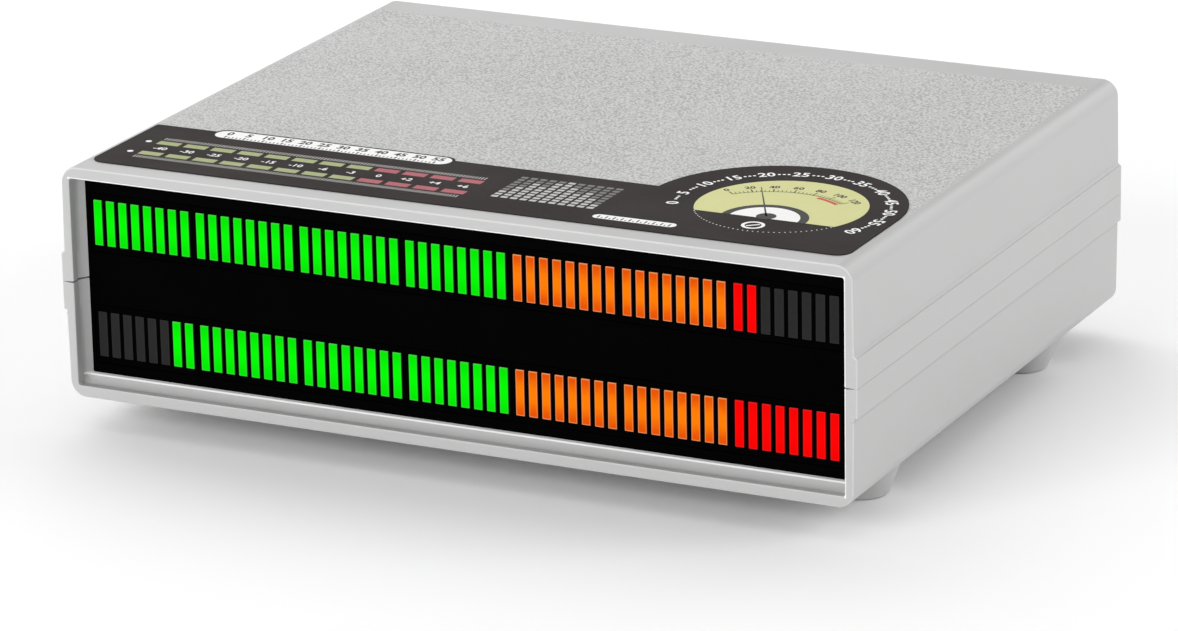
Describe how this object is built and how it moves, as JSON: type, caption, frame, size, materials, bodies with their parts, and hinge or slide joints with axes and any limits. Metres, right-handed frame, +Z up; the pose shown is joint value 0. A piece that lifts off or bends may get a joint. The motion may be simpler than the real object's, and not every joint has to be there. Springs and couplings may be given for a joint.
{
  "type": "led music spectrum display",
  "caption": "Desk-top audio level and spectrum display: light grey two-shell case, rows of coloured LED bars behind a front frame, line sockets, power inlet and controls on the back.",
  "frame": {"origin": "on the table, below the middle of the overall box", "axes": "+X along the width, to the right seen from the front; +Y from the front to the rear; +Z up"},
  "size_m": [0.2014, 0.1688, 0.0642],
  "materials": {
    "case_plastic": "light grey moulded plastic, fine grain on the top",
    "panel_black": "matt black",
    "label_film": "printed satin film",
    "screw_steel": "zinc plated",
    "display_laminate": "black solder mask",
    "board_laminate": "green solder mask",
    "chip_black": "moulded epoxy",
    "can_metal": "satin can",
    "capacitor_sleeve": "shrunk sleeve",
    "connector_black": "moulded plastic",
    "ribbon_grey": "flat cable jacket",
    "plated_metal": "nickel plated",
    "insert_white": "moulded",
    "insert_red": "moulded",
    "button_black": "satin black",
    "module_black": "black face",
    "led_green": "glowing diffuser",
    "led_orange": "glowing diffuser",
    "led_red": "glowing diffuser"
  },
  "bodies": {
    "case": {"top_cover": "case_plastic", "bottom_cover": "case_plastic", "rear_panel": "case_plastic", "front_panel": "panel_black", "top_label": "label_film", "case_screws": "screw_steel", "board_screws": "screw_steel", "display_board": "display_laminate", "main_board": "board_laminate", "driver_chips": "chip_black", "controller_chip": "chip_black", "voltage_regulator": "chip_black", "crystal": "can_metal", "filter_capacitors": "capacitor_sleeve", "display_connector": "connector_black", "main_connector": "connector_black", "dc_jack": "connector_black", "rca_block": "connector_black", "power_switch": "connector_black", "mode_switch": "connector_black", "ribbon_cable": "ribbon_grey", "dc_jack_pin": "plated_metal", "rca_shells": "plated_metal", "pot_nut": "plated_metal", "sensitivity_pot": "plated_metal", "rca_insert_left": "insert_white", "rca_insert_right": "insert_red", "led_housing_upper_1": "module_black", "led_bars_upper_1": "led_green", "led_housing_upper_2": "module_black", "led_bars_upper_2": "led_green", "led_housing_upper_3": "module_black", "led_bars_upper_3": "led_green", "led_housing_upper_4": "module_black", "led_bars_upper_4": "led_green", "led_housing_upper_5": "module_black", "led_bars_upper_5": "led_orange", "led_housing_upper_6": "module_black", "led_bars_upper_6": "led_orange", "led_housing_upper_7": "module_black", "led_bars_upper_7": "led_red", "led_housing_lower_1": "module_black", "led_bars_lower_1": "led_green", "led_housing_lower_2": "module_black", "led_bars_lower_2": "led_green", "led_housing_lower_3": "module_black", "led_bars_lower_3": "led_green", "led_housing_lower_4": "module_black", "led_bars_lower_4": "led_green", "led_housing_lower_5": "module_black", "led_bars_lower_5": "led_orange", "led_housing_lower_6": "module_black", "led_bars_lower_6": "led_orange", "led_housing_lower_7": "module_black", "led_bars_lower_7": "led_red"},
    "level_control": {"sensitivity_knob": "button_black", "pot_shaft": "plated_metal"},
    "power_key": {"power_button": "button_black"},
    "mode_key": {"mode_button": "button_black"}
  },
  "joints": [
    {"name": "sensitivity_turn", "type": "hinge", "parent": "case", "child": "level_control", "pos_m": [0.011, 0.0736, 0.0278], "axis": [0, 1, 0], "range_deg": [-150, 150]},
    {"name": "power_press", "type": "slide", "parent": "case", "child": "power_key", "axis": [0, 1, 0], "range_m": [0, 0.002]},
    {"name": "mode_press", "type": "slide", "parent": "case", "child": "mode_key", "axis": [0, -1, 0], "range_m": [0, 0.0015], "stiffness_N_per_m": 400, "springref_m": -0.002}
  ]
}
